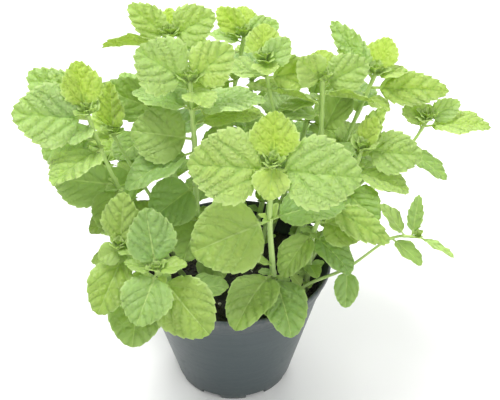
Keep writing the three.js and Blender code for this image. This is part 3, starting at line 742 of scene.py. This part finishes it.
# One leaf on a grid of rows along it and columns across it, closed below by the same columns.
# Its chord leaves the root along one direction and its middle line is an arc over that chord. Across it
# the blade folds up from the midrib and levels out, with a groove over the midrib, pillows between the
# side veins (a sine of the vein count, raised to a power) and a ruffle along the edge.
# A leaf that would cross one of its neighbours is left out.
def growLeaf(bundle, root, leaf, age, detail="fine", cup=0.0, tone=None, neighbours=()):
    turn, rise, length, width, droop, facing = leaf
    along, up, across = leafFrame(turn, rise, facing)
    shape = leafShape
    mesh = details[detail]
    stalk = growth["stalkShare"] * length
    size = min(1.0, length / shape["largeLeaf"]) ** shape["sizePower"]
    relative = min(1, length / shape["toothedLeaf"])
    rowShare, *rest = bladeRows(length - stalk, width, mesh, aged(shape["tooth"], age) * relative,
                                aged(growth["roundness"], age))
    # Rows of the stalk come before those of the blade
    stalkAt = np.array(mesh["stalk"])
    share, half, pushX, pushY, blade = (np.pad(values, (len(stalkAt), 0))[:, None]
                                        for values in (rowShare, *rest, smoothStep(0, 0.05, rowShare)))
    s = np.concatenate([stalkAt * stalk, stalk + rowShare * (length - stalk)])[:, None]
    half = np.maximum(half, shape["stalkHalf"] * size * (1 - share))

    # Columns run from -1 at the right edge to 1 at the left one, as seen from above and from the stalk
    side = np.array(mesh["columns"])
    v = np.concatenate([-side[:0:-1], side])[None, :]
    out = np.abs(v)
    left = v > 0
    x = s + pushX * out ** shape["toothPower"]
    y = half * v + np.sign(v) * pushY * out ** shape["toothPower"]
    ay = np.abs(y)

    # Side veins lie where the phase is whole
    wave = draw.uniform(0, 1, 8)
    veins = shape["veins"] if length > shape["fewVeinsTo"] else shape["fewVeins"]
    pitch = (length - stalk) / (veins + 0.3)
    phase = (x - stalk - shape["veinLean"] * ay - shape["veinArch"] * ay ** 2 / (0.5 * width)) / pitch
    leftPitch, rightPitch = shape["wanderPitches"]
    wander = waves(np.where(left, ay / leftPitch + wave[4], ay / rightPitch + wave[5]))
    phase = phase + shape["veinShift"] * np.tanh(25 * v) + shape["veinWander"] * wander * np.tanh(2 * v)
    phase = phase + shape["veinSpread"] * waves(shape["spreadWaves"] * share + wave[6])
    phase = np.where(phase > 0, phase, 0.3 * np.tanh(phase / 0.3)) + shape["veinStart"]

    # Height of the middle of the blade over its chord
    band = 2 * np.floor(phase).astype(int) + left
    cell = (0.8 * ay + 0.6 * x) / (shape["cell"] * size) + draw.uniform(0, 1, 64)[band % 64]
    bulge = 1 - shape["cellShare"] + shape["cellShare"] * np.abs(np.sin(np.pi * cell)) ** shape["cellPower"]
    pillow = (np.sin(np.pi * phase) ** 2 + 0.02) ** shape["pillowPower"] * bulge - 0.45
    quilt = aged(shape["quilt"], age) * relative
    relief = quilt * pillow * (1 - 0.8 * out ** 6) * smoothStep(*shape["pillowsFrom"], ay)
    groove = -shape["grooveDepth"] * size * bell(ay / shape["grooveWidth"]) * (1 - share) ** 0.5
    leftWaves, rightWaves = shape["ruffleWaves"]
    ruffle = waves(np.where(left, leftWaves * share + wave[0], rightWaves * share + wave[1]))
    ruffle = shape["ruffle"] * size * ruffle * out ** 3 * np.clip((1 - share) * 4, 0, 1)
    fold = (growth["fold"] + cup) * ay * (1.4 - 0.7 * out)
    twist = shape["twist"] * (2 * wave[2] - 1) * y * share
    curl = -shape["tipCurl"] * size * (0.3 + wave[3]) * share ** 4
    lift = (fold + relief + groove + ruffle + twist + curl) * blade

    # Half the thickness, and the midrib's height below: both faces meet at the edge
    thin = shape["edgeThickness"] + (shape["thickness"] - shape["edgeThickness"]) * (1 - v ** 2)
    stout = shape["stalkThickness"] * size * np.sqrt(1 - np.clip(out, 0, 0.97) ** 2)
    thick = (stout + (thin * size - stout) * blade) / 2
    keel = shape["ribHeight"] * size * bell(ay / (shape["ribWidth"] * size)) * blade * (1 - share) ** 0.8
    thick = np.where(out == 1, 0, thick)
    keel = np.where(out == 1, 0, keel)

    bend = bendOf(droop)

    # Points at a distance along and across the leaf, lifted off its chord
    def put(x, y, lift):
        angle = bend / 2 - bend * x / length
        ahead = length / bend * (math.sin(bend / 2) - np.sin(angle)) - np.sin(angle) * lift
        high = length / bend * (np.cos(angle) - math.cos(bend / 2)) + np.cos(angle) * lift
        return root + along * ahead[..., None] + up * high[..., None] + across * y[..., None]

    # Values of the upper face, from right to left, and then of the lower one, back from left to right
    def wrap(above, below=None):
        above = np.broadcast_to(above, x.shape)
        below = above if below is None else np.broadcast_to(below, x.shape)
        return np.concatenate([above, below[:, -2:0:-1]], axis=1)

    top = put(x, y, lift + thick)
    bottom = put(x, y, lift - thick - keel)
    rings = np.concatenate([top, bottom[:, -2:0:-1]], axis=1)
    ends = put(np.array([0, length]), np.zeros(2), np.array([0, curl[-1, 0]]))

    # A whole number sets each leaf apart on the map and leaves its veins where they are
    number = draw.integers(1, 400)
    tone = float(np.clip(draw.normal(*shape["tone"]), *shape["toneLimits"])) if tone is None else tone
    rib = np.clip(ay / ((0.1 + 0.55 * (1 - share)) * size), 0, 4) * blade
    upper = np.where(out == 1, 0.6, 1.0) * blade * (0.3 + 0.7 * size)
    if neighbours:
        points = np.vstack([rings.reshape(-1, 3), ends]) * mm
        surface = surfaceTree(points, sum((faces.tolist() for faces in ringFaces(*rings.shape[:2])), []))
        if any(surface.overlap(neighbour) for neighbour in neighbours):
            return
    bundle.add(
        rings, ends, int(age >= shape["grownSkinFrom"]), age=age, tone=tone, rib=wrap(rib),
        upper=wrap(upper, 0.0), rim=wrap(out ** 10 * blade),
        edge=wrap((0.65 * out ** 2.5 + 0.35 * share ** 2) * blade), u=wrap(phase + number), v=wrap(y),
    )


# Stems

stemShape = {
    "foot": 2.1, "footRing": 6, "tip": 1.25, "tipRise": 0.6, "stations": 56, "around": 16,
    "flatness": 3.4, "across": 0.8, "knot": 0.3, "knotLength": 2.2, "slimFrom": 0.02, "slimTo": 0.2,
}
# Stems that are slimmer than the frame's above the soil, and by how much
slimStems = {
    "stem_trailing": 0.62, "stem_far_right": 0.75, "stem_thin_left": 0.75, "stem_upper_left": 0.9,
    "stem_far_left": 0.85, "stem_right": 0.9, "stem_rear_centre": 0.8, "stem_rear_left": 0.85,
}


# A stem: a rounded square section (a superellipse, whose corners stand where the frame's do) carried
# along the path, thinning to the tip and swelling where leaves grow
def growStem(bundle, path, nodesAt, slimness):
    shape = stemShape
    share = np.linspace(0, 1, shape["stations"])
    middle = curveAt(path, share)
    along = unit(np.gradient(middle, axis=0))
    along[0] = (0, 0, 1)
    foot = middle[0] - (0, 0, growth["plantingDepth"])
    middle = np.vstack([foot, foot + (0, 0, shape["footRing"]), middle])
    along = np.vstack([along[:1], along[:1], along])
    share = np.concatenate([[0, 0], share])
    sideways = unit(np.array([1.0, 0, 0]) - along * along[:, :1])
    other = np.cross(along, sideways)
    length = alongLine(middle)
    knots = np.array(sorted(set(nodesAt)))[None, :]
    away = (share[:, None] - knots) * length[-1] / shape["knotLength"]
    radius = shape["foot"] + (shape["tip"] - shape["foot"]) * share
    radius = radius * (1 + shape["knot"] * bell(away).max(axis=1))
    radius = radius * (1 - (1 - slimness) * smoothStep(shape["slimFrom"], shape["slimTo"], share))
    radius[:3] = shape["foot"]
    turn = -evenAngles(shape["around"])
    power = shape["flatness"]
    corner = np.abs(np.cos(turn - np.pi / 4)) ** power + np.abs(np.sin(turn - np.pi / 4)) ** power
    reach = radius[:, None] * (shape["across"] * corner ** (-1 / power))[None, :]
    rings = (middle[:, None] + sideways[:, None] * (reach * np.cos(turn))[..., None]
             + other[:, None] * (reach * np.sin(turn))[..., None])
    ends = [middle[0], middle[-1] + along[-1] * shape["tipRise"]]
    bundle.add(rings, ends, 2, age=1 - share[:, None],
               u=length[:, None], v=np.linspace(0, 4, shape["around"])[None, :])


# Small leaves that the frame leaves out: a crinkled tuft at each tip, leaflets in the joints between
# stem and leaf, and a few small pairs on the bare foot of the stem
smallLeaves = {
    # of each kind: width for its length, droop, age, mesh and tone
    "tuft": (0.95, -22, 0.3, "middling", -0.4),
    "joint": (0.62, 10, 0.2, "tiny", None),
    "foot": (0.7, 25, 0.5, "tiny", None),
    # length, rise and cupping of each pair in a tuft, from the outer one in
    "tuftPairs": ((11, 36, 0.3), (9.5, 50, 0.45), (8, 62, 0.6), (6, 74, 0.7)),
    "tuftAt": 0.985, "tuftStep": 0.005, "tuftSpread": (12, 8),
    "jointFrom": 26, "jointTo": 0.96, "jointShare": 0.62, "jointLength": (5.5, 10.5), "jointTurn": 34,
    "jointSpread": 10, "jointRise": (28, 52),
    "footAt": (0.1, 0.2, 0.3), "footShare": 0.7, "footLength": (8, 15), "footRise": (15, 45),
}
# Shoots whose tuft at the tip is smaller than the others', and by how much
smallTufts = {"stem_trailing": 0.5, "stem_low_front": 0.7, "stem_low_left": 0.85}


def growSmallLeaves(bundle, path, leaves, tuftSize, neighbours):
    look = smallLeaves

    def growOne(kind, at, length, turn, rise, cup=0.0):
        width, droop, age, detail, tone = look[kind]
        way = (turn, rise, length, length * width, droop, None)
        growLeaf(bundle, curveAt(path, at)[0], way, age, detail, cup, tone, neighbours)

    # A random number up to the spread, either way
    def about(spread):
        return draw.uniform(-spread, spread)

    turn = draw.uniform(0, 180)
    turnSpread, riseSpread = look["tuftSpread"]
    for level, (length, rise, cup) in enumerate(look["tuftPairs"]):
        at = look["tuftAt"] + look["tuftStep"] * level
        for opposite in (0, 180):
            growOne("tuft", at, length * tuftSize, turn + 90 * level + opposite + about(turnSpread),
                    rise + about(riseSpread), cup)
    for at, way in leaves:
        turn, rise, length = way[:3]
        if length < look["jointFrom"] or at > look["jointTo"] or draw.uniform() > look["jointShare"]:
            continue
        for aside in (-look["jointTurn"], look["jointTurn"]):
            growOne("joint", at, draw.uniform(*look["jointLength"]),
                    turn + aside + about(look["jointSpread"]), rise + draw.uniform(*look["jointRise"]))
    for at in look["footAt"]:
        turn = draw.uniform(0, 180)
        for opposite in (0, 180):
            if draw.uniform() <= look["footShare"]:
                growOne("foot", at, draw.uniform(*look["footLength"]), turn + opposite,
                        draw.uniform(*look["footRise"]))


# A leaf's age, from 0 to 1, grows down the stem and is higher on a shoot with a low tip. Steep leaves
# at the tip are fresh, and leaves longer than the last measure get a fine mesh.
ageing = {
    "tipAt": 0.98, "perStem": 1.9, "least": 0.12, "onLow": 0.38, "lowTips": (135, 175), "spread": 0.08,
    "freshAbove": 0.98, "freshRise": 40, "fineFrom": 21,
}

# What small leaves keep clear of: the pot and each shoot, as it is in the frame until it is grown
trees = {name: meshTree(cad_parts[name].data) for name in ("pot", *shoots)}


def growShoot(name, path, rows):
    corners = cornersOf(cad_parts[name].data).astype(float) / mm
    bundle = Bundle("age", "tone", "rib", "rim", "upper", "edge", "u", "v")
    lowShoot = 1 - smoothStep(*ageing["lowTips"], path[-1][2])
    leaves = []
    for row in rows:
        at, turn, rise, length, width, droop, facing = (*row, None)[:7]
        root = curveAt(path, at)[0]
        way = grownWay(root, (turn, rise, length, width, droop, facing), corners)
        if way is None:
            print("  no leaf in the frame at", name, at, turn)
            continue
        age = (ageing["tipAt"] - at) * ageing["perStem"] + ageing["least"] + ageing["onLow"] * lowShoot
        age = float(np.clip(age + draw.uniform(-ageing["spread"], ageing["spread"]), 0, 1))
        fresh = 1.0 if at > ageing["freshAbove"] and rise > ageing["freshRise"] else None
        growLeaf(bundle, root, way, age, "fine" if way[2] > ageing["fineFrom"] else "middling", tone=fresh)
        leaves.append((at, way))
    growStem(bundle, path, [at for at, way in leaves], slimStems.get(name, 1.0))
    neighbours = [tree for key, tree in trees.items() if key != name]
    growSmallLeaves(bundle, path, leaves, smallTufts.get(name, 1.0), neighbours)
    piece = bundle.makePiece(name.replace("stem_", "shoot_"), [*leafSkins, stemMaterial], [name],
                             sharpAngle=75)
    trees[name] = meshTree(piece.data)
    return len(leaves), len(piece.data.loops) - 2 * len(piece.data.polygons)


grown = [growShoot(name, path, rows) for name, (path, *rows) in shoots.items()]
print("shoots", len(grown), "leaves", sum(a for a, b in grown), "triangles", sum(b for a, b in grown))


# Pot

potShape = {
    "rimRadius": 60, "height": 87, "baseRadius": 36.5, "wall": 1.6, "collarHeight": 12, "collarStep": 1.4,
    "floor": 2, "drainCount": 8, "drainWidth": 13, "drainDepth": 6, "drainHeight": 3.4,
}


# Radius of the tapered wall's outside at a height
def wallRadius(height):
    pot = potShape
    spread = pot["rimRadius"] - pot["collarStep"] - pot["baseRadius"]
    return pot["baseRadius"] + spread * height / pot["height"]


# The pot is a profile turned about +Z. In each drain notch the profile's foot is lifted, so that the
# floor's edge and the foot of the wall are cut away there.
def makePot():
    shape = potShape
    top = shape["height"]
    under = top - shape["collarHeight"]
    base = shape["baseRadius"]
    foot = base - shape["drainDepth"]
    cut = shape["drainHeight"]
    rim = shape["rimRadius"]
    wall = shape["wall"]
    # Each row: radius and height in the standing part, then in a notch
    lower = [
        (0.5, 0, 0.5, 0), (12, 0, 12, 0), (foot - 0.8, 0, foot - 0.8, 0), (foot - 0.2, 0, foot - 0.2, 0.1),
        (foot, 0, foot, 0.4), (foot + 0.1, 0, foot + 0.1, cut - 0.3), (foot + 0.4, 0, foot + 0.4, cut),
        (base - 0.9, 0, base - 0.9, cut), (base - 0.35, 0.15, wallRadius(cut) - 0.3, cut),
        (base - 0.05, 0.6, wallRadius(cut + 0.3), cut + 0.3),
        (wallRadius(1.3), 1.3, wallRadius(cut + 0.6), cut + 0.6),
    ]
    side = [(wallRadius(h), h) for h in (6, 12, 24, 40, 56, 66, 70)]
    step = wallRadius(under)
    collar = [
        (wallRadius(under - 1.6), under - 1.6), (wallRadius(under - 0.9) + 0.12, under - 0.9),
        (step + 0.6, under), (step + 1.0, under + 0.6), (step + 1.25, under + 1.2),
        (step + shape["collarStep"], under + 2.0), (rim - 0.45, top - 3.2), (rim - 0.1, top - 2.6),
        (rim, top - 1.7), (rim - 0.15, top - 0.7), (rim - 0.6, top - 0.12), (rim - 1.0, top),
        (rim - 1.5, top - 0.15), (rim - 1.95, top - 0.8), (rim - 2.1, top - 1.8),
    ]
    inside = [(wallRadius(h) - wall, h) for h in (under, 66, 56, 40, 24, 12, 7)]
    bottom = [(wallRadius(5) - wall - 0.8, 5.2), (foot - 0.6, 5.0), (foot - 2.2, 2.4),
              (foot - 4, shape["floor"]), (0.5, shape["floor"])]
    rest = side + collar + inside + bottom
    standing = [row[:2] for row in lower] + rest
    notched = [row[2:] for row in lower] + rest
    # Angles: even steps, and close pairs at the two sides of each notch
    halfNotch = math.asin(shape["drainWidth"] / 2 / base)
    sector = 2 * math.pi / shape["drainCount"]
    start = sector / 2 - halfNotch
    stop = sector / 2 + halfNotch
    within = np.concatenate([
        np.linspace(0, start - 0.012, 9), [start, start + 0.002], np.linspace(start + 0.02, stop - 0.02, 9),
        [stop - 0.002, stop], np.linspace(stop + 0.012, sector, 9)[:-1],
    ])
    angles = (np.arange(shape["drainCount"])[:, None] * sector + within[None]).ravel()
    inNotch = np.tile(np.abs(within - sector / 2) < halfNotch - 0.001, shape["drainCount"])
    rings = np.where(inNotch[None, :, None], turnedRings(notched, angles), turnedRings(standing, angles))
    height = rings[..., 2]
    dust = smoothStep(under - 6, top, height) * 0.7 + smoothStep(9, 0, height) * 0.8
    bundle = Bundle("dust")
    bundle.add(rings, [(0, 0, 0), (0, 0, shape["floor"])], dust=dust)
    return bundle.makePiece("nursery_pot", [potPlastic()], ["pot"], sharpAngle=38)


makePot()
print("pot")


# Soil

soilShape = {
    "bottom": 2.35, "gap": 0.35, "rings": 46, "around": 150, "below": 0.9, "edgeDip": 1.6,
    "dipOver": (44, 55), "clods": 420, "clodSize": (1.2, 4.2), "clodHeight": 0.9,
}
crumbShape = {
    "count": 620, "sizes": (0.45, 1.5), "barkShare": 0.2, "paleShare": 0.07, "rings": 4, "around": 6,
    "barkForm": (2.3, 0.8, 0.5), "grainForm": (1, 1, 0.8), "roughness": (0.75, 1.2),
    "fromEdge": 1.5, "raised": 0.3,  # the last for its size
}


# Height of the soil at points on it: level with a dip at the pot's wall, and a round bump for each clod
def soilHeight(x, y, clods):
    dip = soilShape["edgeDip"] * smoothStep(*soilShape["dipOver"], np.hypot(x, y))
    height = soilTop - soilShape["below"] - dip
    for cx, cy, size, rise in clods:
        height = height + rise * np.exp(-((x - cx) ** 2 + (y - cy) ** 2) / size ** 2)
    return height


# The soil is a profile turned about +Z, whose top is raised by the soil's height
def makeSoil():
    shape = soilShape
    bottom = shape["bottom"]

    def inner(height):
        return wallRadius(height) - potShape["wall"] - shape["gap"]

    outer = inner(soilTop - 2)
    spots = draw.uniform(-outer, outer, (shape["clods"], 2))
    clods = [(x, y, draw.uniform(*shape["clodSize"]), draw.uniform(-0.5, 1) * shape["clodHeight"])
             for x, y in spots]
    foot = potShape["baseRadius"] - potShape["drainDepth"]
    side = [(0.5, bottom), (foot - 4.6, bottom), (foot - 1, 5.4), (inner(5.6) - 1.2, 5.6),
            (inner(7) - 0.4, 7), (inner(40), 40), (inner(soilTop - 5), soilTop - 5)]
    top = [(radius, soilTop) for radius in np.linspace(outer, 0.8, shape["rings"])]
    rings = turnedRings(side + top, evenAngles(shape["around"]))
    covered = rings[len(side):]
    covered[..., 2] = soilHeight(covered[..., 0], covered[..., 1], clods)
    bundle = Bundle()
    bundle.add(rings, [(0, 0, bottom), (0, 0, soilHeight(0, 0, clods))])
    bundle.makePiece("soil_bed", [peat()], ["soil"])
    return outer, clods


# A crumb is a ball of a few rings whose points are pushed in and out, and stretched one way for bark
def makeCrumbs(outer, clods):
    look = crumbShape
    crumbs = Bundle("pale")
    tilt = np.pi * (np.arange(look["rings"]) + 1) / (look["rings"] + 1)
    ball = turnedRings(np.stack([np.sin(tilt), -np.cos(tilt)], axis=-1), evenAngles(look["around"]))
    poles = np.array([[0, 0, -1.0], [0, 0, 1.0]])
    for number in range(look["count"]):
        away = (outer - look["fromEdge"]) * math.sqrt(draw.uniform())
        angle = draw.uniform(0, 2 * math.pi)
        x = away * math.cos(angle)
        y = away * math.sin(angle)
        size = draw.uniform(*look["sizes"])
        form = look["barkForm"] if draw.uniform() < look["barkShare"] else look["grainForm"]
        stretch = np.array(form) * size
        heading = draw.uniform(0, math.pi)
        ahead = math.cos(heading)
        aside = math.sin(heading)
        turned = np.array([[ahead, aside, 0], [-aside, ahead, 0], [0, 0, 1]])
        place = (x, y, soilHeight(x, y, clods) + look["raised"] * size)
        pushed = ball * draw.uniform(*look["roughness"], ball.shape[:2] + (1,))
        pale = float(draw.uniform() < look["paleShare"])
        crumbs.add((pushed * stretch) @ turned + place, (poles * stretch) @ turned + place, pale=pale)
    crumbs.makePiece("soil_crumbs", [crumbSkin()])


makeCrumbs(*makeSoil())
print("soil")


# Stage, light and camera

floorShape = {"half": 12.0, "steps": 24}
lights = (
    # name, place, size, power, aimed at
    ("key", (-0.5, 0.05, 1.6), 0.7, 23.0, (0, 0, 0.12)),
    ("fill", (0.8, -1.2, 0.9), 1.4, 12.0, (0, 0, 0.12)),
    ("back", (0.3, 1.2, 1.2), 0.9, 14.5, (0, 0, 0.14)),
)
surround = {"Color": (1, 1, 1, 1), "Strength": 0.65}
view = {
    "place": (0.0104, -0.430, 0.432), "pitchDown": 35.19, "lens": 64.8, "sensor": 36.0,
    "nearest": 0.01, "furthest": 50,
}


# The floor is a level square grid
def makeStage():
    n = floorShape["steps"]
    line = np.linspace(-floorShape["half"], floorShape["half"], n)
    x, y = np.meshgrid(line, line)
    points = np.stack([x.ravel(), y.ravel(), np.zeros(x.size)], axis=-1)
    first = (np.arange(n - 1)[:, None] * n + np.arange(n - 1)).ravel()
    faces = np.stack([first, first + 1, first + n + 1, first + n], axis=-1)
    mesh = bpy.data.meshes.new("floor")
    mesh.from_pydata(points.tolist(), [], faces.tolist())
    mesh.materials.append(paleFloor())
    addObject("floor", mesh)


# Turns an object so that its -Z looks from its place to a point
def aim(thing, place, target):
    thing.location = place
    sight = np.array(target, float) - np.array(place, float)
    flat = math.hypot(sight[0], sight[1])
    thing.rotation_euler = (math.pi / 2 + math.atan2(sight[2], flat), 0, math.atan2(-sight[0], sight[1]))


def makeLight():
    for name, place, size, power, target in lights:
        lamp = bpy.data.lights.new(name, "AREA")
        lamp.size = size
        lamp.energy = power
        aim(addObject(name, lamp), place, target)
    world = bpy.data.worlds.new("studio")
    world.use_nodes = True
    for socket, value in surround.items():
        world.node_tree.nodes["Background"].inputs[socket].default_value = value
    bpy.context.scene.world = world
    bpy.context.scene.view_settings.view_transform = "Standard"


def makeCamera():
    lens = bpy.data.cameras.new("camera")
    lens.lens = view["lens"]
    lens.sensor_width = view["sensor"]
    lens.clip_start = view["nearest"]
    lens.clip_end = view["furthest"]
    camera = addObject("camera", lens)
    camera.location = view["place"]
    camera.rotation_euler = (math.radians(90 - view["pitchDown"]), 0, 0)
    bpy.context.scene.camera = camera


makeStage()
makeLight()
makeCamera()
print("stage, light and camera")
